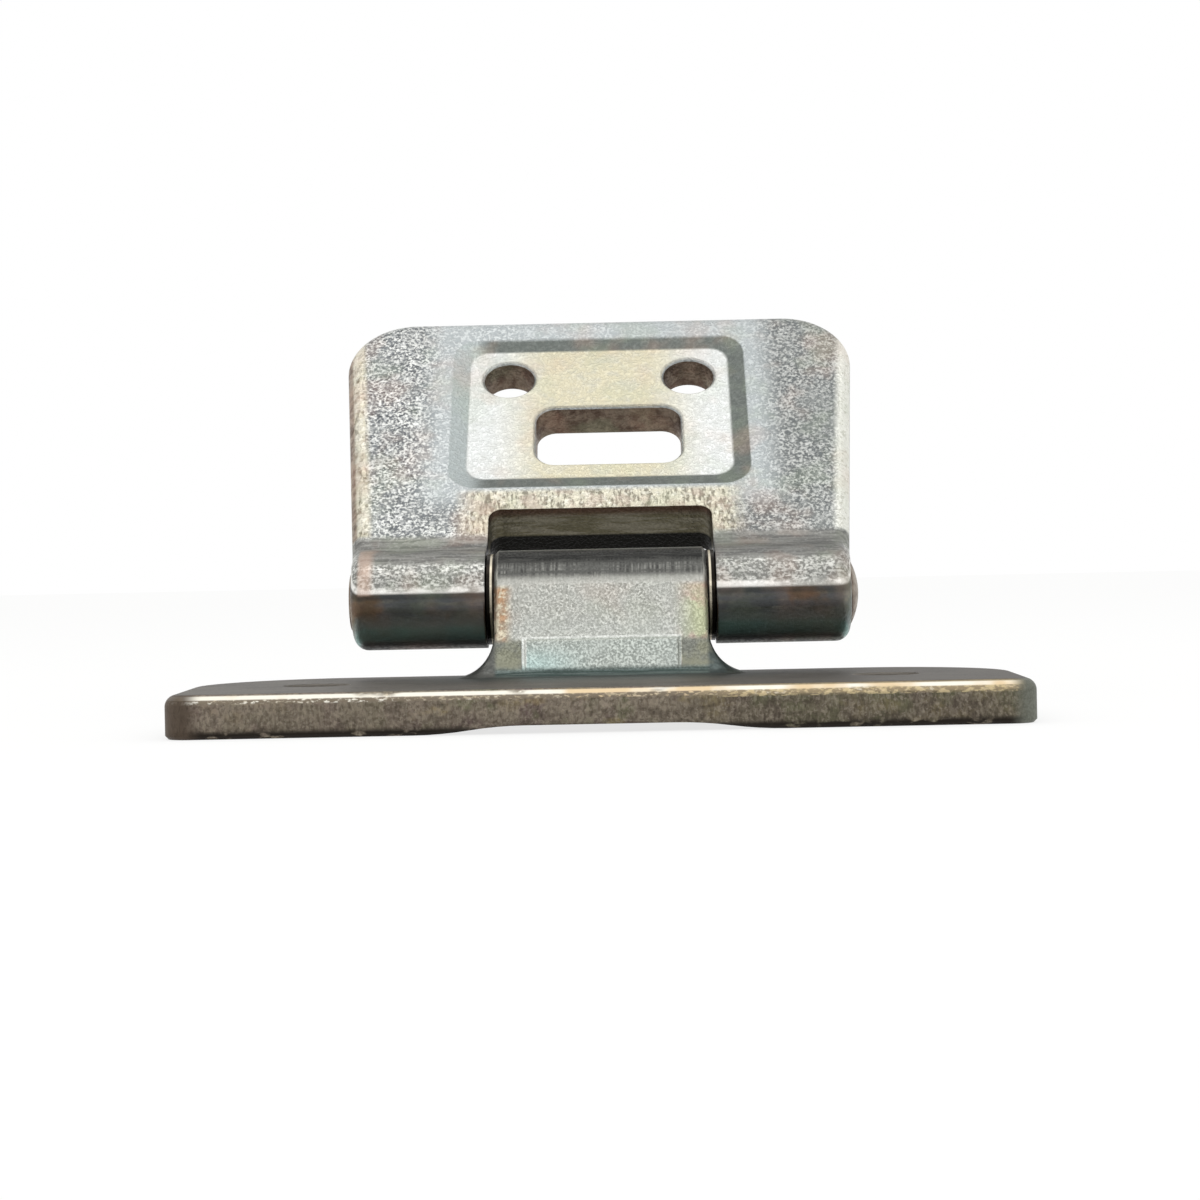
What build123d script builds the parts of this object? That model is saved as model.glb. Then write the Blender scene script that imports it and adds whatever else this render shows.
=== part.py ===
"""Tailgate hinge: a forged body leaf, a forged tailgate leaf, a headed pin and two flanged bushes.

The body leaf is a wide flat plate with a short slanted neck that carries the centre eye.
The tailgate leaf carries the two outer eyes and is drawn half open, leaning back.
X runs along the pin, -Y is the front edge of the body plate and +Z is up.
The origin is the middle of the body leaf's two bolt holes, on the underside of its plate.
"""

import os
from math import acos, atan2, cos, hypot, radians, sin, sqrt, tan

from build123d import *

os.makedirs("parts", exist_ok=True)

# Pin, eyes and bushes
pin_diameter = 8.0
pin_head_rise = 1.5
pin_upset_rise = 0.4
pin_upset_depth = 1.0
eye_diameter = 16.0
bush_wall = 0.95
bush_flange_wall = 3.4
bush_barrel_length = 14.0
running_clearance = 0.05
side_play = 0.2

# Body leaf
plate_width = 127.0
plate_flare = 2.4
plate_thickness = 6.5
plate_front_reach = 50.0
plate_rear_reach = 3.0
plate_front_corner = 4.0
plate_rear_corner = 24.0
plate_top_round = 1.8
plate_bottom_break = 0.5
arch_rise = 1.15
arch_flat_half = 11.0
arch_fade_half = 27.0
axis_above_plate = 12.5
neck_width = 34.6
neck_thickness = 7.0
neck_slant = 17.0
neck_front_foot = 2.5
neck_rear_foot = 2.5
neck_edge_break = 0.6
neck_root_proud = 0.02
flare_radius = 7.0
flare_corner = 3.5
root_sink = 0.3
root_sections = 6
pad_width = 25.4
pad_height = 6.2
pad_rise = 0.5
pad_edge_slope = 0.5
body_bolt_hole = 10.5
body_bolt_spacing = 88.0
body_bolt_from_axis = 25.0

# Tailgate leaf
leaf_tilt = 45.0
leaf_width = 81.6
leaf_length = 68.0
leaf_flare = 4.6
leaf_front = 4.0
leaf_thickness = 7.0
leaf_taper_end = 41.0
leaf_front_blend = 8.0
leaf_corner = 12.0
leaf_edge_round = 2.4
leaf_rim_break = 0.5
notch_play = 1.5
notch_depth = 17.3
notch_corner = 2.3
recess_width = 52.5
recess_start = 22.6
recess_top_margin = 5.5
recess_depth = 0.9
recess_slope = 3.4
recess_corner = 5.0
window_width = 25.4
window_start = 29.6
window_offset = 1.6
window_corner = 3.5
leaf_bolt_hole = 9.0
leaf_bolt_spacing = 32.0
leaf_bolt_above_window = 8.0
leaf_bolt_clearance = 2.5

# Places that follow from the sizes
eye_radius = eye_diameter / 2
pin_radius = pin_diameter / 2
bush_bore = pin_radius + running_clearance
bush_radius = bush_bore + bush_wall
flange_radius = bush_bore + bush_flange_wall
head_radius = eye_radius - leaf_edge_round
upset_radius = pin_radius + pin_upset_depth
notch_width = neck_width + 2 * notch_play
flange_thickness = notch_play - side_play
axis_y = body_bolt_from_axis
axis_z = plate_thickness + axis_above_plate
plate_rear = axis_y + plate_rear_reach
plate_depth = plate_front_reach + plate_rear_reach
pin_line = Axis((0, axis_y, axis_z), (1, 0, 0))
cos_tilt = cos(radians(leaf_tilt))
sin_tilt = sin(radians(leaf_tilt))
cos_slant = cos(radians(neck_slant))
sin_slant = sin(radians(neck_slant))

# Planes through the pin axis: across it, along it, and two that lean with the tailgate leaf
across_pin = Plane(origin=(0, axis_y, axis_z), x_dir=(0, 1, 0), z_dir=(1, 0, 0))
along_pin = Plane(origin=(0, axis_y, axis_z), x_dir=(1, 0, 0), z_dir=(0, -1, 0))
leaf_section = Plane(origin=(0, axis_y, axis_z), x_dir=(0, sin_tilt, cos_tilt), z_dir=(1, 0, 0))
leaf_face = Plane(origin=(0, axis_y, axis_z), x_dir=(1, 0, 0), z_dir=(0, -cos_tilt, sin_tilt))


def slant_line_y(distance, height):
    """Place across the pin of a line that leans with the neck, at a distance from the pin axis."""
    return (sin_slant * height - distance) / cos_slant


def spread(height, radius):
    """How far a concave fillet of this radius has spread sideways, at a height above its foot."""
    above = max(radius - height, 0)
    return radius - sqrt(radius ** 2 - above ** 2)


def nearest(corners, place):
    """The corner of a sketch that lies nearest to a place."""
    return corners.sort_by_distance((place[0], place[1], 0))[0]


def height_in_leaf(edge):
    """How far the middle of an edge lies in front of the tailgate leaf's plane through the pin axis."""
    return leaf_face.to_local_coords(edge.center()).Z


# Body leaf: flat plate first, then the flared root, the slanted neck with its eye, and the pad
neck_back = eye_radius - neck_thickness
root_top = flare_radius - axis_above_plate
neck_front = Plane(
    origin=(0, axis_y + slant_line_y(eye_radius, -axis_above_plate), plate_thickness),
    x_dir=(1, 0, 0),
    z_dir=(0, -cos_slant, sin_slant),
)

with BuildPart() as neck:
    with BuildSketch(across_pin):
        Circle(eye_radius)
        with BuildLine():
            Polyline(
                (-eye_radius * cos_slant, eye_radius * sin_slant),
                (slant_line_y(eye_radius, root_top), root_top),
                (slant_line_y(neck_back, root_top), root_top),
                (0, 0),
                close=True,
            )
        make_face()
    extrude(amount=neck_width / 2, both=True)
    rims = neck.faces().group_by(Axis.X)
    rim_edges = (rims[0] + rims[-1]).edges()
    foot_edges = rim_edges.filter_by(Axis.Y)
    chamfer(rim_edges - foot_edges, length=neck_edge_break)

with BuildPart() as body_leaf:
    with BuildSketch(Plane.XZ.offset(-plate_rear)):
        with BuildLine():
            arch_middle = ((arch_flat_half + arch_fade_half) / 2, arch_rise / 2)
            Line((0, arch_rise), (arch_flat_half, arch_rise))
            leaving = TangentArc((arch_flat_half, arch_rise), arch_middle, tangent=(1, 0))
            TangentArc(leaving @ 1, (arch_fade_half, 0), tangent=leaving % 1)
            Polyline(
                (arch_fade_half, 0),
                (plate_width, 0),
                (plate_width, plate_thickness),
                (0, plate_thickness),
            )
            mirror(about=Plane.YZ)
        make_face()
    extrude(amount=plate_depth)
    with BuildSketch() as plate_outline:
        with BuildLine():
            Polyline(
                (0, plate_rear - plate_depth),
                (plate_width / 2, plate_rear - plate_depth),
                (plate_width / 2 + plate_depth * tan(radians(plate_flare)), plate_rear),
                (0, plate_rear),
            )
            mirror(about=Plane.YZ)
        make_face()
        fillet(plate_outline.vertices().group_by(Axis.Y)[0], radius=plate_front_corner)
        fillet(plate_outline.vertices().group_by(Axis.Y)[-1], radius=plate_rear_corner)
    extrude(amount=plate_thickness, mode=Mode.INTERSECT)
    fillet(body_leaf.faces().sort_by(Axis.Z)[-1].edges(), radius=plate_top_round)
    under = body_leaf.edges().filter_by(lambda edge: edge.bounding_box().max.Z < plate_thickness / 2)
    arch_lines = under.filter_by(Axis.Y).filter_by(lambda edge: edge.length > plate_front_reach)
    chamfer(under - arch_lines, length=plate_bottom_break)

    for step in range(root_sections):
        height = flare_radius * (step / (root_sections - 1)) ** 2
        level = height - axis_above_plate
        front = slant_line_y(eye_radius, level) - spread(height, neck_front_foot) - neck_root_proud
        rear = slant_line_y(neck_back, level) + spread(height, neck_rear_foot) + neck_root_proud
        side = spread(height, flare_radius) + neck_root_proud
        with BuildSketch(Plane.XY.offset(plate_thickness + height - root_sink * (step == 0))):
            with Locations((0, axis_y + (front + rear) / 2)):
                RectangleRounded(
                    neck_width + 2 * side,
                    rear - front,
                    neck_edge_break + flare_corner * side / flare_radius,
                )
    loft()

    add(neck.part)

    # Coined pad on the lower neck, sloping off at its top and sides
    pad_middle = (pad_height / cos_slant) / 2
    with BuildSketch(neck_front.offset(-pad_rise)):
        with Locations((0, pad_middle)):
            Rectangle(pad_width, 2 * pad_middle)
    with BuildSketch(neck_front.offset(pad_rise)):
        with Locations((0, pad_middle - pad_edge_slope / 2)):
            Rectangle(pad_width - 2 * pad_edge_slope, 2 * pad_middle - pad_edge_slope)
    loft()

    # Bore for the bushes, with both ends of the eye faced flat for their flanges, and the two bolt holes
    with BuildSketch(across_pin):
        Circle(bush_radius)
    extrude(amount=neck_width, both=True, mode=Mode.SUBTRACT)
    for side in (-1, 1):
        with BuildSketch(across_pin.offset(side * neck_width / 2)):
            Circle(flange_radius + running_clearance)
        extrude(amount=side * notch_play, mode=Mode.SUBTRACT)
    with GridLocations(body_bolt_spacing, 0, 2, 1):
        Hole(body_bolt_hole / 2, depth=plate_thickness * 2)

body_leaf.part.label = "body_leaf"
export_step(body_leaf.part, "parts/body_leaf.step")


# Tailgate leaf: its section across the pin is run out wide, then trimmed to the front outline
leaf_back = leaf_front - leaf_thickness
taper_reach = hypot(leaf_taper_end, leaf_back)
taper_angle = atan2(leaf_back, leaf_taper_end) - acos(eye_radius / taper_reach)
front_meets_eye = (sqrt(eye_radius ** 2 - leaf_front ** 2), leaf_front)
leaf_top_half = leaf_width / 2 + leaf_length * tan(radians(leaf_flare))
recess_end = leaf_length - recess_top_margin
recess_middle = (recess_start + recess_end) / 2
leaf_bolt_line = recess_end - recess_slope - leaf_bolt_clearance - leaf_bolt_hole / 2
window_height = leaf_bolt_line - leaf_bolt_above_window - window_start
window_middle = window_start + window_height / 2

with BuildPart() as tailgate_leaf:
    with BuildSketch(leaf_section) as section_sketch:
        Circle(eye_radius)
        with BuildLine():
            Polyline(
                (0, leaf_front),
                (leaf_length, leaf_front),
                (leaf_length, leaf_back),
                (leaf_taper_end, leaf_back),
                (eye_radius * cos(taper_angle), eye_radius * sin(taper_angle)),
                (0, 0),
                close=True,
            )
        make_face()
        fillet(nearest(section_sketch.vertices(), front_meets_eye), radius=leaf_front_blend)
    extrude(amount=leaf_top_half, both=True)

    with BuildSketch(leaf_face) as outline_sketch:
        with BuildLine():
            Polyline(
                (0, leaf_length),
                (leaf_top_half, leaf_length),
                (leaf_width / 2, 0),
                (leaf_width / 2, -eye_diameter),
                (0, -eye_diameter),
            )
            mirror(about=Plane.YZ)
        make_face()
        fillet(outline_sketch.vertices().group_by(Axis.Y)[-1], radius=leaf_corner)
    extrude(amount=eye_diameter, both=True, mode=Mode.INTERSECT)

    # The edges all round the outline are rounded
    ends = tailgate_leaf.faces().filter_by(lambda face: abs(face.normal_at().X) > 0.9)
    seams = ends.edges().filter_by(Axis((0, 0, 0), leaf_face.z_dir))
    fillet(ends.edges() - seams, radius=leaf_edge_round)

    # Notch for the centre eye
    with BuildSketch(leaf_face) as notch_sketch:
        with Locations((0, (notch_depth - eye_diameter) / 2)):
            Rectangle(notch_width, notch_depth + eye_diameter)
        fillet(notch_sketch.vertices().group_by(Axis.Y)[-1], radius=notch_corner)
    extrude(amount=eye_diameter, both=True, mode=Mode.SUBTRACT)

    # Shallow recess with sloping walls in the front face, and the window through its floor
    with BuildSketch(leaf_face.offset(leaf_front)):
        with Locations((0, recess_middle)):
            RectangleRounded(recess_width, recess_end - recess_start, recess_corner)
    with BuildSketch(leaf_face.offset(leaf_front - recess_depth)):
        with Locations((0, recess_middle)):
            RectangleRounded(
                recess_width - 2 * recess_slope,
                recess_end - recess_start - 2 * recess_slope,
                recess_corner - recess_slope / 2,
            )
    loft(mode=Mode.SUBTRACT)
    with BuildSketch(leaf_face):
        with Locations((window_offset, window_middle)):
            RectangleRounded(window_width, window_height, window_corner)
        with Locations((0, leaf_bolt_line)):
            with GridLocations(leaf_bolt_spacing, 0, 2, 1):
                Circle(leaf_bolt_hole / 2)
    extrude(amount=leaf_thickness, both=True, mode=Mode.SUBTRACT)
    rims = tailgate_leaf.edges(Select.LAST).filter_by(lambda edge: height_in_leaf(edge) > leaf_front / 2)
    chamfer(rims, length=leaf_rim_break)

    # Pin bore, spot-faced for the head at the right end and countersunk at the left end
    with BuildSketch(across_pin):
        Circle(pin_radius)
    extrude(amount=leaf_width, both=True, mode=Mode.SUBTRACT)
    for side in (-1, 1):
        with BuildSketch(across_pin.offset(side * leaf_width / 2)):
            Circle(head_radius)
        extrude(amount=side * eye_radius, mode=Mode.SUBTRACT)
    with BuildSketch(along_pin):
        with BuildLine():
            Polyline(
                (-leaf_width / 2, 0),
                (-leaf_width / 2, pin_radius + pin_upset_depth),
                (-leaf_width / 2 + pin_upset_depth, pin_radius),
                (-leaf_width / 2 + pin_upset_depth, 0),
                close=True,
            )
        make_face()
    revolve(axis=pin_line, mode=Mode.SUBTRACT)

tailgate_leaf.part.label = "tailgate_leaf"
export_step(tailgate_leaf.part, "parts/tailgate_leaf.step")


# Hinge pin: domed head at the right end, shaft, and the left end upset into its countersink
with BuildPart() as hinge_pin:
    with BuildSketch(along_pin):
        with BuildLine():
            shaft_end = -leaf_width / 2 + pin_upset_depth
            pin_end = -leaf_width / 2 - pin_upset_rise
            Line((pin_end, 0), (leaf_width / 2 + pin_head_rise, 0))
            RadiusArc(
                (leaf_width / 2 + pin_head_rise, 0),
                (leaf_width / 2, head_radius),
                -(head_radius ** 2 + pin_head_rise ** 2) / (2 * pin_head_rise),
            )
            Polyline(
                (leaf_width / 2, head_radius),
                (leaf_width / 2, pin_radius),
                (shaft_end, pin_radius),
                (-leaf_width / 2, upset_radius),
                (pin_end, upset_radius - pin_upset_rise),
                (pin_end, 0),
            )
        make_face()
    revolve(axis=pin_line)

hinge_pin.part.label = "hinge_pin"
export_step(hinge_pin.part, "parts/hinge_pin.step")


# Flanged bushes: one pressed into each end of the centre eye
for side, name in ((-1, "bush_left"), (1, "bush_right")):
    seat = side * neck_width / 2
    with BuildPart() as bush:
        with BuildSketch(along_pin):
            with BuildLine():
                Polyline(
                    (seat + side * flange_thickness, bush_bore),
                    (seat + side * flange_thickness, flange_radius),
                    (seat, flange_radius),
                    (seat, bush_radius),
                    (seat - side * bush_barrel_length, bush_radius),
                    (seat - side * bush_barrel_length, bush_bore),
                    close=True,
                )
            make_face()
        revolve(axis=pin_line)
    bush.part.label = name
    export_step(bush.part, f"parts/{name}.step")
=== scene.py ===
# %% [markdown]
# # A tailgate hinge, photographed from the front edge of its plate
# This scene dresses five machine-made pieces that already have their true shape: a wide body leaf
# with a centre eye, a tailgate leaf with two outer eyes, a headed pin and two small flanged
# bushes. Nothing is modelled again here. The work goes into the metal: worn zinc plate on forged
# steel, which is mottled like frost on its flat faces, streaked where tools have rubbed it and
# stained brown and yellow near its edges. Light and shade are painted into it as well: highlights
# along round edges, shade under the eyes, and black in the gaps. All of it could be painted on
# image maps, but patterns made by nodes need no unwrapping and stay sharp close up.

from math import cos, radians, sin, tan

import bpy
from mathutils import Matrix, Vector

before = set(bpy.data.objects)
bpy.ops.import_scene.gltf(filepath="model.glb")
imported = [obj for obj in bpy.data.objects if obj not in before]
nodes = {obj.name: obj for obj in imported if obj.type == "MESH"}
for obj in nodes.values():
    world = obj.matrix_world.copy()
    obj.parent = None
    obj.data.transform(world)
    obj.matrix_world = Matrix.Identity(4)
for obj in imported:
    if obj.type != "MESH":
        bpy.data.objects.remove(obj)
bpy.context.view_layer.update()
print("pieces:", sorted(nodes))

# %% [markdown]
# ## Colours and nodes
# A colour is written the way a picture editor shows it, as an sRGB hex value. A shader works in
# linear light, so one function turns the first into the second. A second function adds a node,
# sets it up and links it, so that each material below reads as a short list of steps. The nodes
# could also be placed by hand in the editor, but a script gives the same tree each time.


# %% Colour helper
def linear(hex_colour):
    """An sRGB hex colour as the linear red, green, blue and alpha that a shader takes."""
    channels = [int(hex_colour[place:place + 2], 16) / 255 for place in (1, 3, 5)]
    return [c / 12.92 if c <= 0.04045 else ((c + 0.055) / 1.055) ** 2.4 for c in channels] + [1.0]


print("zinc grey is", [round(c, 3) for c in linear("#B4B6B2")])


# %% Node helper
def add(tree, kind, sockets=None, out=None, **settings):
    """Adds a node with its settings, and links or sets its sockets. Gives it, or its output out."""
    node = tree.nodes.new(kind)
    for name, value in settings.items():
        setattr(node, name, value)
    for name, value in (sockets or {}).items():
        if isinstance(value, bpy.types.NodeSocket):
            tree.links.new(value, node.inputs[name])
        else:
            node.inputs[name].default_value = linear(value) if isinstance(value, str) else value
    return node if out is None else node.outputs[out]


print("node helper ready")

# %% [markdown]
# ## The pin axis
# Everything on a hinge is built about its pin, so the pin's axis is the place that all the
# measures below are counted from. Blender works in metres, and a maker thinks in millimetres. The
# scene could be scaled up, but then light and depth would be wrong, so one value turns
# millimetres into metres.

# %% The pin axis, and how far the tailgate leaf leans
MM = 0.001
PIN_Y = 25.0 * MM
PIN_Z = 19.0 * MM
LEAF_TILT = radians(45)
print("pin axis at", PIN_Y, PIN_Z)

# %% [markdown]
# ## Camera
# The picture was taken from close by, level with the knuckle and a little to its right, which is
# why the plate's front edge looks so much wider than the leaf behind it. A far camera with a long
# lens could frame the same width, but would flatten that. So the camera stands where the plate's
# front and rear edges have the lengths that they have in the picture. It is rolled by a degree,
# because the hinge stands slightly aslant in the frame.

# %% Camera
CAMERA_RIGHT, CAMERA_BACK, CAMERA_ABOVE = 4.6, 400, 3.8  # millimetres from the pin's middle
TURN, DOWN, ROLL = 0.69, 0.61, -1.2  # degrees
camera_place = Vector((CAMERA_RIGHT * MM, PIN_Y - CAMERA_BACK * MM, PIN_Z + CAMERA_ABOVE * MM))
camera_data = bpy.data.cameras.new("camera")
camera_data.sensor_width = 36.0
camera_data.lens = 72.75
camera_data.clip_start = 0.01
camera = bpy.data.objects.new("camera", camera_data)
bpy.context.scene.collection.objects.link(camera)
yaw = Matrix.Rotation(radians(TURN), 4, "Z")
pitch = Matrix.Rotation(radians(90 - DOWN), 4, "X")
roll = Matrix.Rotation(radians(ROLL), 4, "Z")
camera.matrix_world = Matrix.Translation(camera_place) @ yaw @ pitch @ roll
bpy.context.scene.camera = camera
print("camera at", tuple(round(v, 4) for v in camera_place))

# %% [markdown]
# ## View
# Blender's usual view softens bright colours, as film does. That suits a landscape, but here a
# colour should show as it is written, so the view is the standard one.

# %% View
bpy.context.scene.view_settings.view_transform = "Standard"
print("view is", bpy.context.scene.view_settings.view_transform)

# %% [markdown]
# ## Sky
# Metal shows what stands around it more than it shows its own colour, so the studio is part of
# the finish. A photograph of a studio could surround the scene, but the product picture was lit
# evenly, so a plain white sky does the same.

# %% Sky
world = bpy.data.worlds.new("studio")
bpy.context.scene.world = world
world.use_nodes = True
world.node_tree.nodes.clear()
white_sky = add(world.node_tree, "ShaderNodeBackground", {"Color": "#FFFFFF", "Strength": 1.0},
                out=0)
add(world.node_tree, "ShaderNodeOutputWorld", {"Surface": white_sky})
print("the sky is plain white")

# %% [markdown]
# ## Lamps
# A large soft lamp overhead lights the leaning leaf. A long low one in front draws the bright
# lines along the eyes and the plate's rounded edge. Small lamps would give hard glints, so both
# are wide. They are about as bright as the sky, so a colour renders nearly as it is written.


# %% Lamps
def soft_lamp(name, place, target, width, height, power):
    """A rectangular soft lamp at a place, turned to a target, in metres and watts."""
    data = bpy.data.lights.new(name, "AREA")
    data.shape = "RECTANGLE"
    data.size, data.size_y = width, height
    data.energy = power
    lamp = bpy.data.objects.new(name, data)
    bpy.context.scene.collection.objects.link(lamp)
    aim = (Vector(target) - Vector(place)).to_track_quat("-Z", "Y")
    lamp.matrix_world = Matrix.Translation(place) @ aim.to_matrix().to_4x4()


knuckle = (0.0, PIN_Y, PIN_Z)
soft_lamp("overhead_lamp", (0.0, -0.10, 0.90), knuckle, width=0.8, height=0.5, power=1.1)
soft_lamp("front_lamp", (0.05, -0.75, 0.50), knuckle, width=1.2, height=0.16, power=0.8)

# %% [markdown]
# ## Flag
# Photographers put dark cards, called flags, where a metal's reflection should be dark. This one
# stands low in front, below the lamp, so the lower half of each round eye and the plate's rim
# turn dark. Darker paint could do that from one side only, and a reflection is right from all.
# The camera doesn't see the card and it throws no shadow.


# %% Flag
def flag(name, corners):
    """A dark card for reflections, which the camera doesn't see."""
    mesh = bpy.data.meshes.new(name)
    mesh.from_pydata(corners, [], [range(len(corners))])
    card = bpy.data.objects.new(name, mesh)
    bpy.context.scene.collection.objects.link(card)
    black_card = bpy.data.materials.new("black_card")
    black_card.use_nodes = True
    shader = black_card.node_tree.nodes["Principled BSDF"]
    shader.inputs["Base Color"].default_value = linear("#1E1E1D")
    mesh.materials.append(black_card)
    card.visible_camera = False
    card.visible_shadow = False


FLAG_SIDE, FLAG_Y, FLAG_TOP = 2.0, -0.9, 0.27
flag("front_flag", [(-FLAG_SIDE, FLAG_Y, 0.0), (FLAG_SIDE, FLAG_Y, 0.0),
                    (FLAG_SIDE, FLAG_Y, FLAG_TOP), (-FLAG_SIDE, FLAG_Y, FLAG_TOP)])
print("flag", 2 * FLAG_SIDE, "m wide")

# %% [markdown]
# ## Floor
# The hinge stands on a matt floor that is nearly white. It could be a curved paper sweep, but
# with a white sky a flat sheet that reaches past the picture's edge looks the same.

# %% Floor
FLOOR_REACH = 6.0
FLOOR_GAP = 0.05  # mm under the plate, so that two surfaces never share one place
corner_signs = [(-1, -1), (1, -1), (1, 1), (-1, 1)]
corners = [(FLOOR_REACH * x, FLOOR_REACH * y, 0) for x, y in corner_signs]
floor_mesh = bpy.data.meshes.new("floor")
floor_mesh.from_pydata(corners, [], [(0, 1, 2, 3)])
floor = bpy.data.objects.new("floor", floor_mesh)
floor.location.z = -FLOOR_GAP * MM
bpy.context.scene.collection.objects.link(floor)
print("floor laid", 2 * FLOOR_REACH, "m wide")

# %% [markdown]
# ### Floor finish
# In the picture the floor is pure white but for a faint shadow. Stronger lamps would whiten it
# and burn out the metal too. So where the camera or a reflection looks at the floor, part of its
# brightness is a plain glow, and the rest stays matt paint, which keeps the shadow.

# %% Floor finish
GLOW_SHARE = 0.75
floor_paint = bpy.data.materials.new("pale_floor")
floor_paint.use_nodes = True
tree = floor_paint.node_tree
tree.nodes.clear()
ray = add(tree, "ShaderNodeLightPath").outputs
seen = add(tree, "ShaderNodeMath", {0: ray["Is Camera Ray"], 1: ray["Is Glossy Ray"]}, out=0,
           operation="MAXIMUM")
seen = add(tree, "ShaderNodeMath", {0: seen, 1: ray["Is Transmission Ray"]}, out=0,
           operation="MAXIMUM")
share = add(tree, "ShaderNodeMath", {0: seen, 1: GLOW_SHARE}, out=0, operation="MULTIPLY")
matt = add(tree, "ShaderNodeBsdfDiffuse", {"Color": "#F4F4F2"}, out=0)
glow = add(tree, "ShaderNodeEmission", {"Color": "#FFFFFF", "Strength": 1.0}, out=0)
surface = add(tree, "ShaderNodeMixShader", {0: share, 1: matt, 2: glow}, out=0)
add(tree, "ShaderNodeOutputMaterial", {"Surface": surface})
floor_mesh.materials.append(floor_paint)
print("floor glow", GLOW_SHARE)

# %% [markdown]
# ## What every metal here shares
# Each finish starts with readings on the piece: how far from the pin a point lies, and which way
# its surface faces. Masks could be painted by hand on the mesh, but readings follow the piece
# exactly, and keep to it in every pose.

# %% Directions that the readings use
DIRECTIONS = {
    "right": (1, 0, 0),
    "front": (0, -1, 0),
    "up": (0, 0, 1),
    "up_leaf": (0, sin(LEAF_TILT), cos(LEAF_TILT)),
    "out": (0, -cos(LEAF_TILT), sin(LEAF_TILT)),
}


def readings(tree):
    """How far a point lies from the pin axis each way, in millimetres, and which way it faces."""
    place = add(tree, "ShaderNodeTexCoord", out="Object")
    normal = add(tree, "ShaderNodeTexCoord", out="Normal")
    from_pin = add(tree, "ShaderNodeVectorMath", {0: place, 1: (0, PIN_Y, PIN_Z)}, out=0,
                   operation="SUBTRACT")
    in_mm = add(tree, "ShaderNodeVectorMath", {0: from_pin, "Scale": 1 / MM}, out=0,
                operation="SCALE")
    at = {}
    for name, direction in DIRECTIONS.items():
        for reading, measured in ((name, in_mm), ("faces_" + name, normal)):
            at[reading] = add(tree, "ShaderNodeVectorMath", {0: measured, 1: direction},
                              out="Value", operation="DOT_PRODUCT")
    for reading, signed in (("off_middle", "right"), ("faces_side", "faces_right")):
        at[reading] = add(tree, "ShaderNodeMath", {0: at[signed]}, out=0, operation="ABSOLUTE")
    return at


print("readings along", ", ".join(DIRECTIONS))

# %% [markdown]
# ### Zones, spots and paint
# A zone is where several readings are past their limits, such as the floor of the recess. Spots
# are a noise pattern of a real size in millimetres, such as blasting pits. Paint then lays
# colours over each other, each in its zone or its spots. One large noise could vary the whole
# piece, but real wear differs from face to face, so it is built up layer by layer.
#
# One pixel of the render is about 0.15 mm of the hinge. Marks finer than about 0.2 mm wouldn't
# show, so where the real ones are finer, they are drawn that coarse.


# %% Zones
def zone(tree, *limits, share=1.0):
    """A mask that is share where every reading is past its third value, and 0 short of its second.

    A mask may stand for a reading, with the limits 0 and 1.
    """
    mask = share
    for reading, none_at, all_at in limits:
        step = add(tree, "ShaderNodeMapRange",
                   {"Value": reading, "From Min": none_at, "From Max": all_at},
                   out=0, interpolation_type="SMOOTHSTEP")
        mask = add(tree, "ShaderNodeMath", {0: mask, 1: step}, out=0, operation="MULTIPLY")
    return mask


print("zones ready")

# %% Spots and paint
CLOUD_WIDTH = 0.5  # a noise of scale 1 has clouds about half a unit wide
CLOUD_ROUGHNESS = 0.55


def spots(tree, size, seed, low=0.40, high=0.60, stretch=(1, 1, 1), detail=3.0, share=1.0):
    """A mask of soft spots of a size in millimetres, drawn out where a stretch is under 1."""
    place = add(tree, "ShaderNodeTexCoord", out="Object")
    drawn = add(tree, "ShaderNodeVectorMath", {0: place, 1: stretch}, out=0, operation="MULTIPLY")
    cloud = add(tree, "ShaderNodeTexNoise",
                {"Vector": drawn, "W": seed, "Scale": CLOUD_WIDTH / (size * MM), "Detail": detail,
                 "Roughness": CLOUD_ROUGHNESS}, out=0, noise_dimensions="4D")
    return zone(tree, (cloud, low, high), share=share)


def paint(tree, base, *layers):
    """Colours laid over a base in turn. Each layer is a mask and a colour."""
    for mask, colour in layers:
        base = add(tree, "ShaderNodeMix", {0: mask, 6: base, 7: colour}, out=2, data_type="RGBA")
    return base


print("spots and paint ready")

# %% [markdown]
# ### Edges
# Tools and handling wear an edge first. Curvature could be baked to find the edges, but the Bevel
# node finds them while it renders: it rounds the surface's normal near an edge, so wherever the
# rounded normal departs from the true one, there is an edge. The same rounded normal also goes
# into the relief, because no edge of a forging is sharp.

# %% Edges
BEVEL_SAMPLES = 4
AGREES_OFF_EDGE, AGREES_ON_EDGE = 0.97, 0.80  # the cosine between the two normals


def worn_edges(tree, reach):
    """A mask of the edges of a piece, reach being in millimetres."""
    rounded = add(tree, "ShaderNodeBevel", {"Radius": reach * MM}, out=0, samples=BEVEL_SAMPLES)
    true = add(tree, "ShaderNodeNewGeometry", out="Normal")
    agree = add(tree, "ShaderNodeVectorMath", {0: rounded, 1: true}, out="Value",
                operation="DOT_PRODUCT")
    return zone(tree, (agree, AGREES_OFF_EDGE, AGREES_ON_EDGE))


print("edges ready")

# %% [markdown]
# ### The start and end of a finish
# Every metal here ends the same way: its colour, its gloss and its relief go into one shader. A
# bare metal would be fully metallic, but plate and steel that have been outdoors carry a thin dull
# film of oxide, so these are a little less.


# %% The start and end of a finish
METALLIC = 0.9
RELIEF_STRENGTH = 0.5


def new_finish(name):
    """An empty material and its node tree."""
    material = bpy.data.materials.new(name)
    material.use_nodes = True
    material.node_tree.nodes.clear()
    return material, material.node_tree


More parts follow.
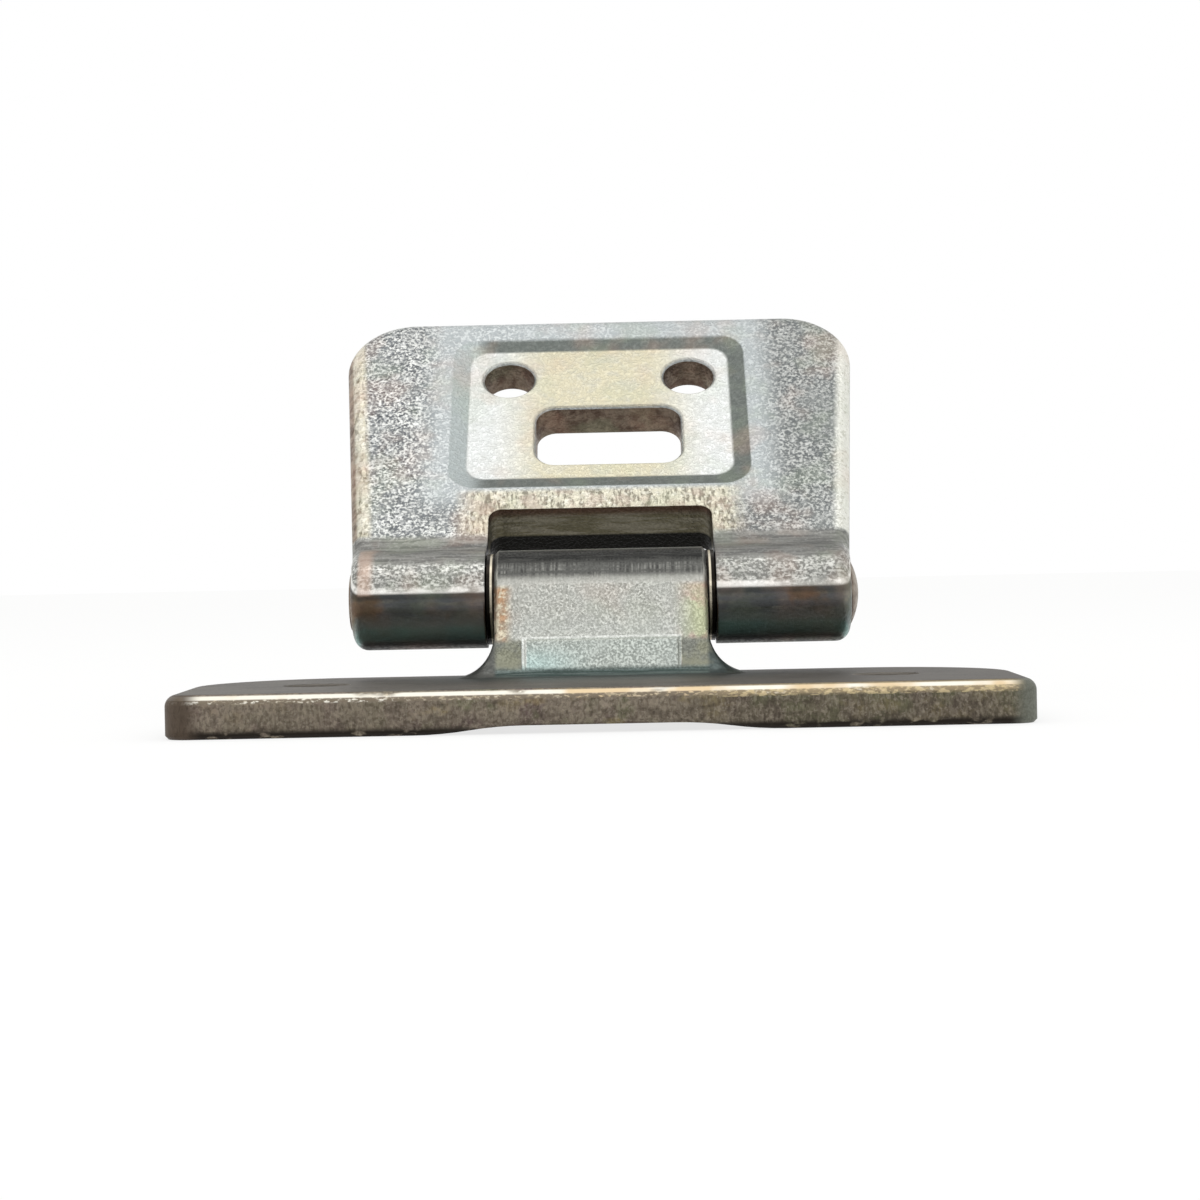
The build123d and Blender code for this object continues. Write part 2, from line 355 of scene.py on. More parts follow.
def metal(tree, colour, shine_spots, dull, bright, relief, depth, edge_round):
    """Ends a finish. Dull and bright are its roughness off and on the spots."""
    rough = add(tree, "ShaderNodeMapRange",
                {"Value": shine_spots, "To Min": dull, "To Max": bright}, out=0)
    rounded = add(tree, "ShaderNodeBevel", {"Radius": edge_round * MM}, out=0,
                  samples=BEVEL_SAMPLES)
    bump = add(tree, "ShaderNodeBump", {"Height": relief, "Distance": depth * MM,
                                        "Strength": RELIEF_STRENGTH, "Normal": rounded}, out=0)
    shader = add(tree, "ShaderNodeBsdfPrincipled", {"Base Color": colour, "Metallic": METALLIC,
                                                    "Roughness": rough, "Normal": bump}, out=0)
    add(tree, "ShaderNodeOutputMaterial", {"Surface": shader})


print("finishes can be started and ended")

# %% [markdown]
# ## Tailgate leaf: zinc plate on forged steel, mottled
# The leaf was forged, shot-blasted and barrel plated. Blasting leaves pits of 0.1 to 0.2 mm, and
# the zinc over them catches the light like frost. A fine bump alone would be lost at this
# distance, so the frost is in the colour, the gloss and the relief together. Where the leaf was
# handled, near the recess, the frost is worn away and the zinc is smooth and pale.

# %% Tailgate leaf: readings
LEAF_HALF_WIDTH = 40.8
LEAF_FLARE = radians(4.6)
tailgate_zinc, tree = new_finish("mottled_zinc_plate_on_forged_steel")
at = readings(tree)
half_width = add(tree, "ShaderNodeMath", {0: at["up_leaf"], 1: tan(LEAF_FLARE), 2: LEAF_HALF_WIDTH},
                 out=0, operation="MULTIPLY_ADD")
from_side = add(tree, "ShaderNodeMath", {0: half_width, 1: at["off_middle"]}, out=0,
                operation="SUBTRACT")
print("leaf is", 2 * LEAF_HALF_WIDTH, "mm wide at the pin")

# %% Tailgate leaf: flat faces
FROST = 0.27  # mm, coarser than the real pits of 0.1 to 0.2, which are too fine to show
frost = spots(tree, FROST, 1.0, detail=2.0)
smooth_part = zone(tree, (at["off_middle"], 33.0, 27.0), (at["up_leaf"], 16.0, 22.0), share=0.7)
right_half = zone(tree, (at["right"], 0.0, 4.0))
flat = paint(
    tree, "#6F7377",
    (frost, "#DDDEDA"),
    (spots(tree, 0.55, 3.0, 0.50, 0.64, detail=1.5, share=0.6), "#F1F2EF"),
    (spots(tree, 0.22, 29.0, 0.50, 0.64, detail=1.0, share=0.75), "#505355"),
    (spots(tree, 2.5, 5.0, 0.44, 0.66, share=0.35), "#B9BBB8"),
    (spots(tree, 6.0, 7.0, 0.45, 0.62, share=0.3), "#8D9190"),
    # Painted shade: the right half is a little darker than the left.
    (zone(tree, (right_half, 0.0, 1.0), share=0.45), "#727673"),
    (smooth_part, "#C3C9CA"),
)
print("flat faces have frost", FROST, "mm wide")

# %% [markdown]
# ### Band and eyes
# The band in the bend between the leaf and its eyes was rubbed smooth by the die, so it is plain
# streaked grey, and it is painted darker as shade. The upper front of each eye is frosted and pale,
# a painted highlight, down to a painted bright line. Below that line the eye is painted dark as
# shade, darker just under the line and near black at the bottom, with brown patches, and the front
# of its underside has a paler blue-green band. The lamps could draw that line, but a painted one
# can be broken up, so it is painted by the way the round surface faces, and broken by spots.

# %% Tailgate leaf: band and upper eye
streaks = spots(tree, 0.40, 9.0, stretch=(0.12, 1, 1))
shaded_band = paint(
    tree, "#6F6E6B",
    (streaks, "#95948F"),
    (spots(tree, 0.3, 13.0, 0.5, 0.65, share=0.5), "#ADADA8"),
    # Painted shade: the band is a little darker on the right half.
    (zone(tree, (right_half, 0.0, 1.0), share=0.3), "#6A6B69"),
)
broken = spots(tree, 1.6, 35.0, 0.42, 0.56, stretch=(0.4, 1, 1))
lit_upper_eye = paint(
    tree, "#7C7C78",
    (spots(tree, 0.24, 2.0, 0.42, 0.62, detail=2.0), "#CDCDC7"),
    (spots(tree, 0.40, 4.0, 0.46, 0.66, stretch=(0.12, 1, 1), share=0.5), "#8A8A86"),
    (spots(tree, 0.28, 31.0, 0.54, 0.66, stretch=(0.35, 1, 1), share=0.7), "#F2F2EC"),
    # Painted shade: the upper eye is a little darker on the right half.
    (zone(tree, (right_half, 0.0, 1.0), share=0.2), "#84847F"),
    # Painted highlight: paler towards the bright line, then the line itself, broken by spots.
    (zone(tree, (at["faces_up"], 0.34, 0.20), share=0.6), "#CFCEC7"),
    (zone(tree, (at["faces_up"], 0.32, 0.24), (broken, 0.0, 1.0)), "#F4F3EE"),
)
print("bright line painted")

# %% Tailgate leaf: lower eye, and where each colour lies
EYE_RADIUS = 8.0
BAND_END = 11.8
shaded_lower_eye = paint(
    tree, "#5C5F5B",
    (spots(tree, 2.0, 6.0), "#7A7A74"),
    (streaks, "#65686A"),
    (spots(tree, 4.0, 11.0, 0.48, 0.60, share=0.75), "#73583F"),
    # Painted shade: a darker line just under the bright line.
    (zone(tree, (at["faces_up"], 0.00, 0.08), share=0.6), "#3A3C3A"),
    (zone(tree, (at["faces_up"], -0.20, -0.55), (at["faces_front"], -0.3, 0.1)), "#949F9E"),
    (zone(tree, (at["faces_up"], -0.45, -0.60), (at["faces_up"], -0.85, -0.75),
          (at["faces_front"], -0.1, 0.3), share=0.7), "#88AFAA"),
    # Painted shade: the bottom of the eye is near black.
    (zone(tree, (at["faces_up"], -0.78, -0.90)), "#2A2C2B"),
)
# The eye is the lit copy above the bright line and the shaded copy below it, with the shaded band
# over its top.
eye = paint(
    tree, shaded_lower_eye,
    (zone(tree, (at["faces_up"], 0.13, 0.19)), lit_upper_eye),
    (zone(tree, (at["faces_up"], 0.70, 0.82)), shaded_band),
)
leaf_colour = paint(
    tree, flat,
    (zone(tree, (at["up_leaf"], BAND_END, BAND_END - 1.6)), shaded_band),
    (zone(tree, (at["up_leaf"], EYE_RADIUS, EYE_RADIUS - 1.5)), eye),
)
print("eyes turn dark below the bright line")

# %% [markdown]
# ### Recess and window
# The recess was coined into the face, and its floor is the smoothest and brightest zinc of all,
# cream towards the window. Its sloping wall is plain, painted darker grey as shade, and paler on
# the left as painted light. The window was punched through, which leaves brown steel on its walls.
# Each could be a material slot of its own, but then the colours would meet in hard lines, so one
# material tells them apart by place.

# %% Tailgate leaf: recess and window
LEAF_FRONT = 4.0
RECESS_FLOOR = 3.1
RECESS_FOOT, RECESS_HEAD = 22.6, 62.5
RECESS_HALF_WIDTH = 26.25
WINDOW_FOOT, BOLT_HOLES_HEAD = 29.6, 56.6
in_recess = zone(tree, (at["up_leaf"], RECESS_FOOT - 1.0, RECESS_FOOT - 0.2),
                 (at["up_leaf"], RECESS_HEAD, RECESS_HEAD - 1.0),
                 (at["off_middle"], RECESS_HALF_WIDTH + 1.15, RECESS_HALF_WIDTH + 0.15),
                 (at["out"], LEAF_FRONT, LEAF_FRONT - 0.1),
                 (at["out"], RECESS_FLOOR - 0.35, RECESS_FLOOR - 0.2), (at["faces_out"], 0.5, 0.8))
on_slope = (at["out"], RECESS_FLOOR - 0.02, RECESS_FLOOR + 0.15)
recess = paint(
    tree, "#E4E6E4",
    (zone(tree, (at["off_middle"], 20.0, 8.0)), "#D9D2B8"),
    (spots(tree, 1.2, 15.0, 0.45, 0.65, share=0.3), "#C9CAC4"),
    # Painted shade: the sloping wall is darker grey.
    (zone(tree, on_slope), "#6B706C"),
    # Painted light: the left part of the slope is paler.
    (zone(tree, on_slope, (at["right"], -19.0, -23.0), share=0.7), "#C0C8C8"),
    (spots(tree, 0.5, 17.0, 0.45, 0.62, share=0.15), "#9FA29D"),
)
punched = zone(tree, (at["faces_out"], 0.75, 0.5), (at["faces_out"], -0.75, -0.5),
               (at["off_middle"], 24.0, 22.0),
               (at["up_leaf"], WINDOW_FOOT - 1.1, WINDOW_FOOT - 0.3),
               (at["up_leaf"], BOLT_HOLES_HEAD + 1.9, BOLT_HOLES_HEAD + 0.9))
leaf_colour = paint(
    tree, leaf_colour,
    (in_recess, recess),
    (punched, paint(tree, "#5A4A3F", (spots(tree, 1.0, 64.0), "#77695B"))),
)
print("recess and window painted")

# %% [markdown]
# ### Cream and brown rims
# A cream strip runs over the notch and down its sides.
# The left rim of the leaf is brown with a cream line beside it, and the right one nearly white.
# An even edge mask would colour both alike, so each rim has a strip of its own, measured from the
# leaf's flared side.

# %% Tailgate leaf: cream zinc over the notch
leaf_only = zone(tree, (at["up_leaf"], 10.0, 12.5))
at_left = zone(tree, (at["right"], 0.0, -1.0))
cream = paint(
    tree, "#8A826E",
    (spots(tree, 0.24, 19.0, 0.40, 0.56, stretch=(1, 0.3, 0.3), detail=2.0), "#DED8C2"),
    (spots(tree, 0.5, 33.0, 0.52, 0.64, share=0.7), "#ECE8D8"),
    (spots(tree, 1.6, 21.0, 0.48, 0.62, share=0.5), "#BDA898"),
)
near_notch = zone(tree, (at["off_middle"], 25.5, 20.5), (at["up_leaf"], 22.8, 21.2),
                  (at["out"], 2.0, 3.0), (leaf_only, 0.0, 1.0), share=0.85)
print("cream mixed")

# %% Tailgate leaf: rims
face_only = zone(tree, (at["faces_out"], 0.05, 0.40), (leaf_only, 0.0, 1.0))
on_left = [(face_only, 0.0, 1.0), (at_left, 0.0, 1.0)]
left_cream = zone(tree, (from_side, 4.0, 2.6), *on_left, share=0.85)
left_brown = zone(tree, (from_side, 1.25, 0.75), *on_left, share=0.9)
right_white = zone(tree, (from_side, 3.3, 1.6), (face_only, 0.0, 1.0), (right_half, 0.0, 1.0),
                   share=0.9)
left_eye_pink = zone(tree, (at["right"], -36.5, -38.0),
                     (at["up_leaf"], EYE_RADIUS, EYE_RADIUS - 2.0),
                     (at["faces_up"], 0.10, 0.16), (at["faces_side"], 0.6, 0.3), share=0.5)
pale_cream = paint(tree, cream, (spots(tree, 0.7, 78.0, share=0.6), "#EFEADB"))
rim_brown = paint(tree, "#6E5C50", (spots(tree, 0.8, 23.0), "#A59586"))
rim_white = paint(tree, "#EFEFE6", (spots(tree, 0.3, 76.0, 0.54, 0.64, share=0.5), "#B9B8A8"))
leaf_colour = paint(
    tree, leaf_colour,
    (near_notch, cream),
    (left_cream, pale_cream),
    (left_brown, rim_brown),
    (right_white, rim_white),
    (left_eye_pink, "#D6B8A4"),
)
print("rims painted")

# %% [markdown]
# ### Notch, tints and worn edges
# The notch was sawn out. Its wall is olive brown, with a dark brown line where it meets the face.
# The lower part of the wall, in the gap behind the centre eye, is painted black as shade, and so
# are the cheeks beside the centre eye. Deep gaps darken by themselves in a render, but not to
# black. Over the whole leaf lie the faint green and pink that chromate leaves on zinc, and its
# edges are rubbed pale.

# %% Tailgate leaf: notch, tints and worn edges
NOTCH_HALF_WIDTH = 18.8
NOTCH_HEAD = 17.3
CHROMATE_GREEN, CHROMATE_PINK = "#A4B593", "#D3A58C"
# Near black, painted as the shade in the knuckle's gaps.
GAP_SHADE = "#14110E"
in_notch = zone(tree, (at["off_middle"], NOTCH_HALF_WIDTH + 0.3, NOTCH_HALF_WIDTH + 0.05),
                (at["up_leaf"], NOTCH_HEAD + 0.6, NOTCH_HEAD + 0.2), (at["faces_out"], 0.75, 0.55))
notch = paint(
    tree, "#5E5946",
    (streaks, "#777263"),
    (zone(tree, (at["out"], 1.5, 3.4)), "#4E3B2E"),
    # Painted shade: the lower part of the notch's wall is black.
    (zone(tree, (at["out"], -2.0, -2.6)), "#12110E"),
)
# Painted shade: the inner sides of the outer eyes face the gaps and are painted black.
shaded_cheek = zone(tree, (at["off_middle"], NOTCH_HALF_WIDTH + 0.4, NOTCH_HALF_WIDTH + 0.1),
             (at["faces_side"], 0.5, 0.8), (at["up_leaf"], 12.0, 9.0))
face_edges = zone(tree, (worn_edges(tree, 0.7), 0.0, 1.0), (at["faces_out"], -0.2, 0.5),
                  (at["up_leaf"], 8.0, 12.0), share=0.6)
leaf_colour = paint(
    tree, leaf_colour,
    (spots(tree, 4.5, 25.0, 0.48, 0.64, share=0.14), CHROMATE_GREEN),
    (spots(tree, 5.5, 27.0, 0.48, 0.64, share=0.14), CHROMATE_PINK),
    (face_edges, "#CFC8B6"),
    (in_notch, notch),
    (shaded_cheek, GAP_SHADE),
)
relief = zone(tree, (frost, 0.0, 1.0), (at["up_leaf"], 9.0, 12.0))
metal(tree, leaf_colour, frost, dull=0.52, bright=0.36, relief=relief, depth=0.12, edge_round=0.5)
print("tailgate finish has", len(tree.nodes), "nodes")

# %% [markdown]
# ## Body leaf: zinc plate on forged steel, satin
# The neck was wiped by the bending tool, so it is brighter and finer than the tailgate leaf, with
# faint upright marks. Over the top of the eye it is streaked along the pin and painted near black
# as shade, and half dark lower down, with a painted highlight line where the eye meets the neck's
# face. Brushed metal is often made with an anisotropic shader, but these marks are broken and
# uneven, so they are drawn out spots in the colour. Green and pink from chromate lie faintly over
# the neck.

# %% Body leaf: patterns
SATIN = 0.19  # mm, coarser than the real wiping marks of about 0.05, which are too fine to show
body_zinc, tree = new_finish("satin_zinc_plate_on_forged_steel")
at = readings(tree)
grain = spots(tree, SATIN, 2.0, 0.36, 0.64, detail=2.0)
patches = spots(tree, 2.0, 4.0, share=0.6)
comb = spots(tree, 0.20, 10.0, 0.42, 0.60, stretch=(1, 0.10, 0.10), detail=1.5)
streaks = spots(tree, 0.30, 8.0, stretch=(0.07, 1, 1))
print("satin grain", SATIN, "mm wide")

# %% Body leaf: neck and eye
# Painted shade: the top of the eye is near black.
shaded_eye_top = paint(
    tree, "#191918",
    (streaks, "#2C2C2A"),
    (spots(tree, 0.20, 14.0, 0.44, 0.74, stretch=(0.1, 1, 1), share=0.6), "#5A5A56"),
)
# Painted shade: the eye is half dark around its middle.
half_shaded_eye = paint(
    tree, "#484846",
    (spots(tree, 0.20, 56.0, 0.30, 0.74, stretch=(1, 0.08, 0.08), detail=1.5), "#84847F"),
    (streaks, "#5C5C59"),
)
neck = paint(
    tree, "#85867F",
    (grain, "#CECFC8"),
    (spots(tree, 0.24, 80.0, 0.54, 0.66, detail=2.0, share=0.5), "#74756D"),
    (comb, "#B4B5AE"),
    (patches, "#B3B5AF"),
    (spots(tree, 4.5, 42.0, 0.48, 0.64, share=0.14), CHROMATE_GREEN),
    (spots(tree, 5.5, 44.0, 0.48, 0.64, share=0.14), CHROMATE_PINK),
    (zone(tree, (at["up"], -2.0, -5.0), share=0.4), "#BFC6C2"),
    # Painted highlight: a pale line where the eye meets the neck's face.
    (zone(tree, (at["faces_up"], 0.22, 0.37), (at["faces_front"], 0.0, 0.35), share=0.75),
     paint(tree, "#C9C9C2", (comb, "#BDBDB6"))),
    (zone(tree, (at["faces_up"], 0.33, 0.53), (at["faces_front"], 0.0, 0.35)), half_shaded_eye),
    (zone(tree, (at["faces_up"], 0.60, 0.86), (at["faces_front"], 0.0, 0.35)), shaded_eye_top),
)
print("neck painted")

# %% [markdown]
# ### Neck edges, pad and root
# Heat and chromate left orange at the neck's left edge and a paler pink at its right one. The
# coined pad is cooler and has a thin painted highlight along its top and left edges. The root
# below it, where the neck bends into the plate, is painted a dark cold blue-green as shade, and
# the flares beside it a darker grey, also as shade. The pad's step is in the solid, but it is only
# half a millimetre high and faces the lamp, so its edge needs the painted line to show.

# %% Body leaf: colours of the neck's edges
orange = paint(
    tree, "#A8927A",
    (spots(tree, 0.9, 16.0, 0.40, 0.66, share=0.8), "#B8895F"),
    (spots(tree, 0.35, 18.0, 0.46, 0.60), "#D8CCB2"),
)
pink = paint(
    tree, "#BFB195",
    (spots(tree, 3.0, 20.0, 0.42, 0.58), "#C79C88"),
    (spots(tree, 2.2, 22.0, 0.48, 0.6), "#B9BE93"),
)
below_line = (at["up"], 2.6, 1.6)
left_edge = zone(tree, (at["right"], -13.9, -15.9), below_line, (at["up"], -8.5, -6.5), share=0.85)
right_edge = zone(tree, (at["right"], 11.0, 16.5), below_line, share=0.75)
print("orange and pink mixed")

# %% Body leaf: pad
PAD_HALF_WIDTH = 12.7
PAD_TOP = -6.3
on_pad = zone(tree, (at["off_middle"], PAD_HALF_WIDTH + 0.2, PAD_HALF_WIDTH - 0.1),
              (at["up"], PAD_TOP + 0.1, PAD_TOP - 0.2))
cyan = zone(tree, (at["right"], 0.0, -12.0), (at["up"], -6.5, -10.5), share=0.75)
pad = paint(tree, "#A0A6A0", (grain, "#C3C9C2"), (patches, "#B4BAB4"), (cyan, "#B7CFCB"))
# Painted highlight along the pad's top edge.
pad_top_highlight = zone(tree, (at["off_middle"], PAD_HALF_WIDTH + 0.3, PAD_HALF_WIDTH),
                    (at["up"], PAD_TOP + 0.3, PAD_TOP + 0.2),
                    (at["up"], PAD_TOP - 0.2, PAD_TOP + 0.05), share=0.6)
# Painted highlight along the pad's left edge.
pad_left_highlight = zone(tree, (at["right"], -PAD_HALF_WIDTH + 0.8, -PAD_HALF_WIDTH + 0.5),
                     (at["right"], -PAD_HALF_WIDTH - 0.2, -PAD_HALF_WIDTH + 0.1),
                     (at["up"], PAD_TOP + 0.1, PAD_TOP - 0.3), (at["up"], -11.5, -10.0), share=0.85)
beside_pad = zone(tree, (at["off_middle"], PAD_HALF_WIDTH, PAD_HALF_WIDTH + 0.3),
                  (at["up"], -6.0, -7.2))
print("pad", 2 * PAD_HALF_WIDTH, "mm wide")

# %% Body leaf: root, and where each colour lies
# Painted shade: the root, where the neck bends into the plate, is dark.
shaded_root = paint(tree, "#46524F", (streaks, "#67726F"))
# Painted shade: the flares beside the root are darker.
shaded_left_flare = paint(
    tree, "#6C6D69",
    (patches, "#858680"),
    (spots(tree, 0.6, 46.0, stretch=(0.4, 1, 0.4), share=0.6), "#4A4B49"),
)
shaded_right_flare = paint(
    tree, "#5B6462",
    (patches, "#7D7C6C"),
    (spots(tree, 0.6, 48.0, stretch=(0.4, 1, 0.4), share=0.6), "#414846"),
)
on_flare = [(at["off_middle"], 16.7, 17.5), (at["up"], -4.0, -6.0)]
neck = paint(
    tree, neck,
    (left_edge, orange),
    (right_edge, pink),
    (beside_pad, paint(tree, "#81837B", (patches, "#96967F"))),
    (on_pad, pad),
    (pad_top_highlight, "#E9EBE6"),
    (pad_left_highlight, "#F0F2EE"),
    (zone(tree, (at["up"], -10.6, -11.6)), shaded_root),
    (zone(tree, *on_flare, (at["right"], 0.0, -1.0)), shaded_left_flare),
    (zone(tree, *on_flare, (at["right"], 0.0, 1.0)), shaded_right_flare),
)
print("pad and root painted")

# %% [markdown]
# ### Plate
# The plate's top is a dull grey-brown, darker to the right. Its rim is as it was sheared: brown,
# purple and olive in patches, with fine upright marks and a dark line along the bottom. The
# rounded edge between them carries a painted highlight, a broken line of white and gold, with a
# soft gold band and sparkle over the right half. A plain bright edge would look like a drawn
# outline, so the line is broken by spots of several sizes.

# %% Body leaf: plate top
PLATE_TOP = -12.5
long_streaks = spots(tree, 0.35, 50.0, 0.42, 0.60, stretch=(0.08, 1, 1))
plate_top = paint(
    tree, "#524E48",
    (spots(tree, 5.0, 24.0), "#5F5B54"),
    (spots(tree, 0.6, 26.0, 0.48, 0.62, stretch=(0.15, 0.5, 1), share=0.35), "#6D675E"),
    (spots(tree, 0.4, 52.0, 0.50, 0.62, stretch=(0.10, 0.5, 1), share=0.4), "#39352F"),
    (spots(tree, 0.3, 72.0, 0.46, 0.62, share=0.5), "#716C64"),
    (zone(tree, (at["off_middle"], 36.0, 16.0), (at["front"], 38.0, 10.0), share=0.7), "#525A59"),
    (zone(tree, (at["right"], 8.0, 40.0), share=0.5), "#3E3932"),
)
print("plate top painted")

# %% Body leaf: rim of the plate
upright_marks = spots(tree, 0.22, 28.0, 0.44, 0.60, stretch=(1, 1, 0.4), share=0.35)
dark_marks = spots(tree, 0.24, 66.0, 0.48, 0.62, stretch=(1, 1, 0.4), share=0.4)
ragged = spots(tree, 0.8, 68.0, 0.36, 0.52, stretch=(0.5, 1, 1))
rim = paint(
    tree, "#83786B",
    (long_streaks, "#8A7F71"),
    (spots(tree, 3.0, 32.0, 0.47, 0.58, share=0.8), "#6B5A5A"),
    (spots(tree, 3.5, 34.0, 0.48, 0.58, share=0.8), "#7A7C60"),
    (spots(tree, 2.0, 70.0, 0.52, 0.64, stretch=(0.6, 1, 1), share=0.6), "#A8986F"),
    (spots(tree, 1.2, 54.0, 0.50, 0.62, stretch=(0.5, 1, 1), share=0.5), "#9F9483"),
    (zone(tree, (at["right"], 2.0, 25.0), share=0.55), "#5E5B49"),
    (zone(tree, (at["right"], -18.0, -38.0), share=0.65), "#95877A"),
    (zone(tree, (at["up"], -14.8, -17.6), share=0.3), "#564D43"),
    (upright_marks, "#A59B8A"),
    (dark_marks, "#463D35"),
    (spots(tree, 0.30, 36.0, 0.46, 0.62, share=0.4), "#4A4138"),
    (spots(tree, 0.26, 60.0, 0.52, 0.64, share=0.35), "#B0A594"),
    (spots(tree, 0.9, 58.0, 0.56, 0.70, stretch=(0.4, 1, 1), share=0.5), "#463D35"),
    (zone(tree, (at["up"], -17.4, -18.4), (ragged, 0.0, 1.0)), "#2C2722"),
)
print("rim painted")

# %% Body leaf: painted highlight on the edge, and ends of the plate
PLATE_HALF_WIDTH = 63.5
# Painted highlight on the plate's rounded front edge, broken by flecks and spots.
edge_highlight_zone = zone(tree, (at["faces_up"], 0.10, 0.30), (at["faces_up"], 0.92, 0.78))
line_patches = spots(tree, 2.5, 62.0, 0.34, 0.46, stretch=(0.3, 1, 1))
lit_line = zone(tree, (at["faces_up"], 0.50, 0.60), (at["faces_up"], 0.90, 0.82),
                (line_patches, 0.0, 1.0))
flecks = spots(tree, 0.20, 40.0, 0.46, 0.66, stretch=(0.5, 1, 1))
lit_flecks = zone(tree, (edge_highlight_zone, 0.0, 1.0), (flecks, 0.0, 1.0))
sparkle = spots(tree, 0.26, 74.0, 0.46, 0.62, stretch=(0.5, 1, 1), detail=2.0)
golden_highlight = paint(tree, "#F0ECE0", (spots(tree, 7.0, 38.0, 0.50, 0.60, share=0.75), "#DDC08F"))
on_right = (at["right"], 12.0, 22.0)
rim = paint(
    tree, rim,
    (edge_highlight_zone, "#857A6A"),
    (lit_flecks, paint(tree, golden_highlight, (long_streaks, "#B9AC94"))),
    # Painted highlight: a soft gold band and sparkle over the right half.
    (zone(tree, (at["faces_up"], 0.02, 0.25), on_right, share=0.45), "#B8A57F"),
    (zone(tree, (at["faces_up"], 0.02, 0.12), (at["faces_up"], 0.80, 0.70), on_right,
          (sparkle, 0.0, 1.0), share=0.65), "#E2CFA4"),
    (lit_line, golden_highlight),
    (zone(tree, (at["right"], 6.0 - PLATE_HALF_WIDTH, 3.0 - PLATE_HALF_WIDTH), share=0.9),
     paint(tree, "#5A4E43", (dark_marks, "#483E35"))),
    (zone(tree, (at["right"], PLATE_HALF_WIDTH - 4.5, PLATE_HALF_WIDTH - 1.5)),
     paint(tree, "#6E7066", (dark_marks, "#53554C"), (grain, "#7A7C72"))),
)
print("edge and ends painted")

# %% Body leaf: bolt holes, and where top and rim lie
BOLT_OFF_MIDDLE = 44.0
BOLT_IN_FRONT = 25.0
# Painted light: the walls of the bolt holes are pale, so they look no darker than the plate's top.
lit_bolt_hole = zone(tree, (at["off_middle"], BOLT_OFF_MIDDLE - 8.0, BOLT_OFF_MIDDLE - 6.0),
                 (at["off_middle"], BOLT_OFF_MIDDLE + 8.0, BOLT_OFF_MIDDLE + 6.0),
                 (at["front"], BOLT_IN_FRONT - 7.0, BOLT_IN_FRONT - 6.0),
                 (at["front"], BOLT_IN_FRONT + 7.0, BOLT_IN_FRONT + 6.0),
                 (at["faces_up"], 0.6, 0.3))
body_colour = paint(
    tree, neck,
    (zone(tree, (at["up"], PLATE_TOP + 0.3, PLATE_TOP + 0.03)), plate_top),
    (zone(tree, (at["up"], PLATE_TOP - 0.02, PLATE_TOP - 0.1)), rim),
    # Painted light on the bolt holes' walls.
    (lit_bolt_hole, "#8D8880"),
)
print("plate painted")

# %% [markdown]
# ### Cheeks and worn edges of the body leaf
# The two sides of the centre eye face the gaps of the knuckle, and are painted black as shade.
# The neck's edges are rubbed pale, by the same edge mask as on the tailgate leaf. A darker
# material in the gaps would need a slot of its own, and the readings find those faces without one.

# %% Body leaf: dark cheeks and worn edges
# Painted shade: the sides of the centre eye in the gaps are black.
shaded_cheek = zone(tree, (at["faces_side"], 0.6, 0.9), (at["off_middle"], 16.8, 17.1),
             (at["up"], -9.0, -6.0))
neck_edges = zone(tree, (worn_edges(tree, 0.6), 0.0, 1.0), (at["up"], -12.0, -10.0), share=0.35)
body_colour = paint(tree, body_colour, (neck_edges, "#D2CDBE"), (shaded_cheek, GAP_SHADE))
shine = zone(tree, (grain, 0.0, 1.0), (at["up"], PLATE_TOP, PLATE_TOP + 1.0))
metal(tree, body_colour, shine, dull=0.55, bright=0.34, relief=grain, depth=0.03, edge_round=0.5)
print("body finish has", len(tree.nodes), "nodes")

# %% [markdown]
# ## Pin
# The pin is plain turned steel that has tarnished brown, and only its domed head and flush end
# show. It could share the leaves' zinc, but bare steel has no frost and a softer gloss, so it has
# a finish of its own with larger, cloudier spots.

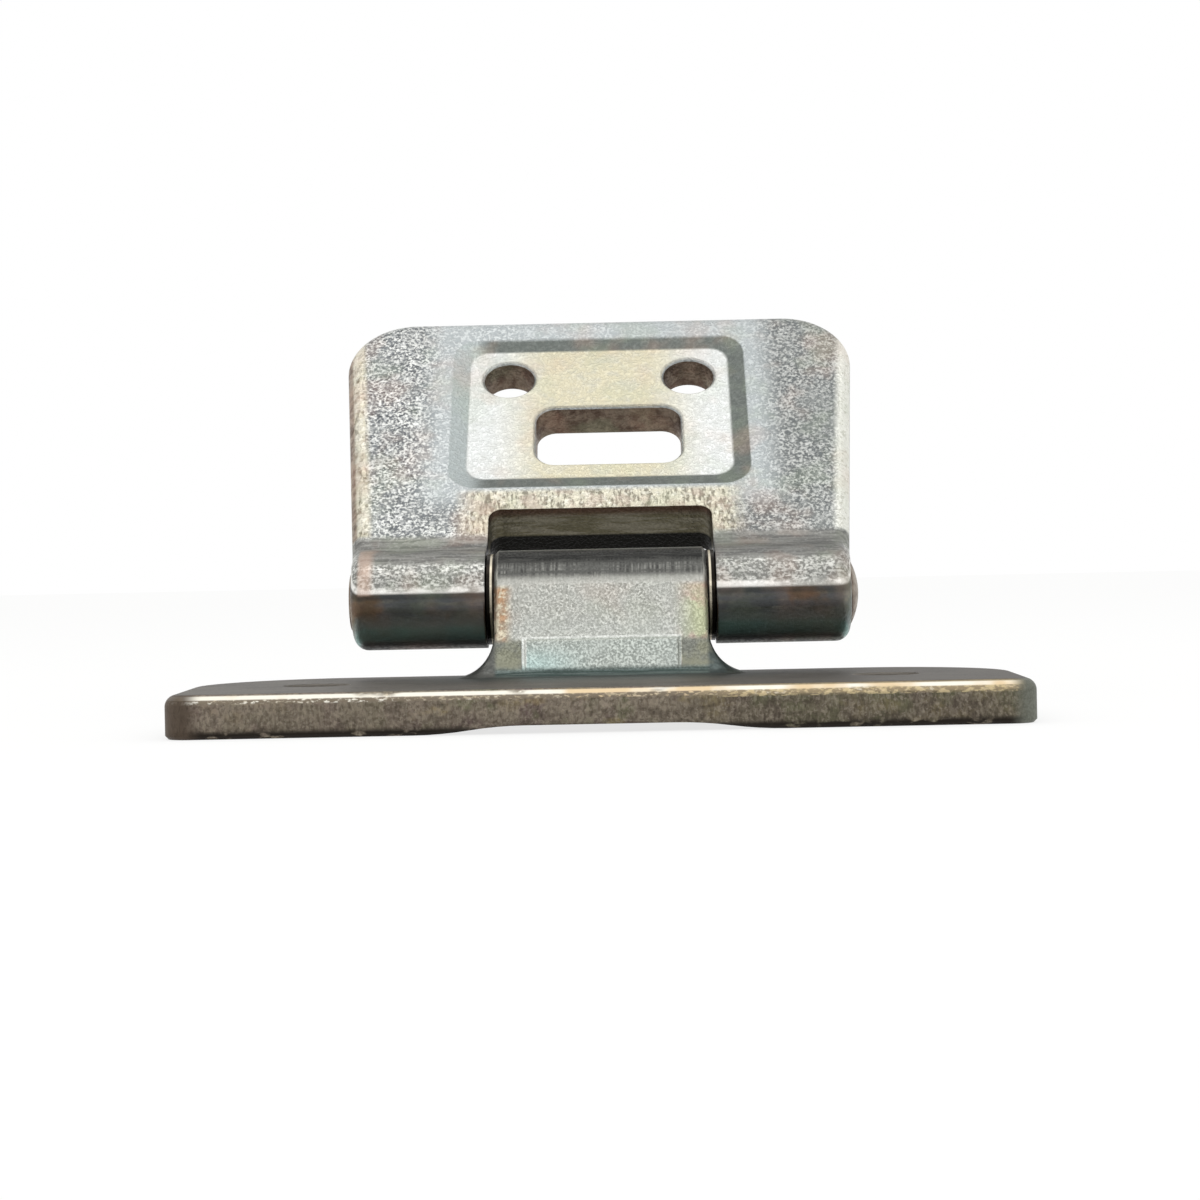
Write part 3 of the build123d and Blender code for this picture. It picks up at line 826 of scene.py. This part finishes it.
# %% Pin finish
pin_steel, tree = new_finish("tarnished_pin_steel")
tarnish = spots(tree, 1.6, 1.0, 0.38, 0.62)
pin_colour = paint(tree, "#66564A", (tarnish, "#9A8F80"))
metal(tree, pin_colour, tarnish, dull=0.5, bright=0.36, relief=spots(tree, 0.3, 3.0), depth=0.1,
      edge_round=0.4)
print("pin finish has", len(tree.nodes), "nodes")

# %% [markdown]
# ## Bushes
# The bushes are bearing bronze, darkened with old grease and painted nearly black as the shade of
# the gaps they sit in. Their flanges fill the gaps beside the centre eye, and one thin line on each
# rim is a painted highlight. The solid flange could catch that light by itself, but the gap is too
# narrow for a lamp to reach, so the line is painted.

# %% Bush finish
RIM_HIGHLIGHT_AT = 17.8
bush_bronze, tree = new_finish("dull_bearing_bronze")
at = readings(tree)
grease = spots(tree, 0.9, 9.0, 0.42, 0.60)
# Painted highlight: one thin bright line on each flange's rim.
rim_highlight = zone(tree, (at["off_middle"], RIM_HIGHLIGHT_AT - 0.2, RIM_HIGHLIGHT_AT - 0.1),
                   (at["off_middle"], RIM_HIGHLIGHT_AT + 0.25, RIM_HIGHLIGHT_AT + 0.15),
                   (at["faces_side"], 0.5, 0.3))
# Nearly black as the shade of the gaps, with spots of grease.
bush_colour = paint(tree, "#1B1713", (grease, "#2B251F"), (rim_highlight, "#CFC6B2"))
metal(tree, bush_colour, grease, dull=0.45, bright=0.3, relief=grease, depth=0.05, edge_round=0.2)
print("bush finish has", len(tree.nodes), "nodes")

# %% [markdown]
# ## Each piece gets its finish
# A finish belongs to a piece through its material slots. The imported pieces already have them, so
# their slots take the new finishes, and no mesh is touched. The two bushes share one finish, as
# they would come out of one box.

# %% Give each piece its finish
finishes = {
    "body_leaf": body_zinc,
    "tailgate_leaf": tailgate_zinc,
    "hinge_pin": pin_steel,
    "bush_left": bush_bronze,
    "bush_right": bush_bronze,
}
for name, material in finishes.items():
    for material_slot in nodes[name].material_slots:
        material_slot.material = material
    print(name, "is", material.name)

# %% [markdown]
# ## Last update
# A dressed piece has to stay the size of the real one, and no mesh is changed here. The scene is
# brought up to date at the end.

bpy.context.view_layer.update()
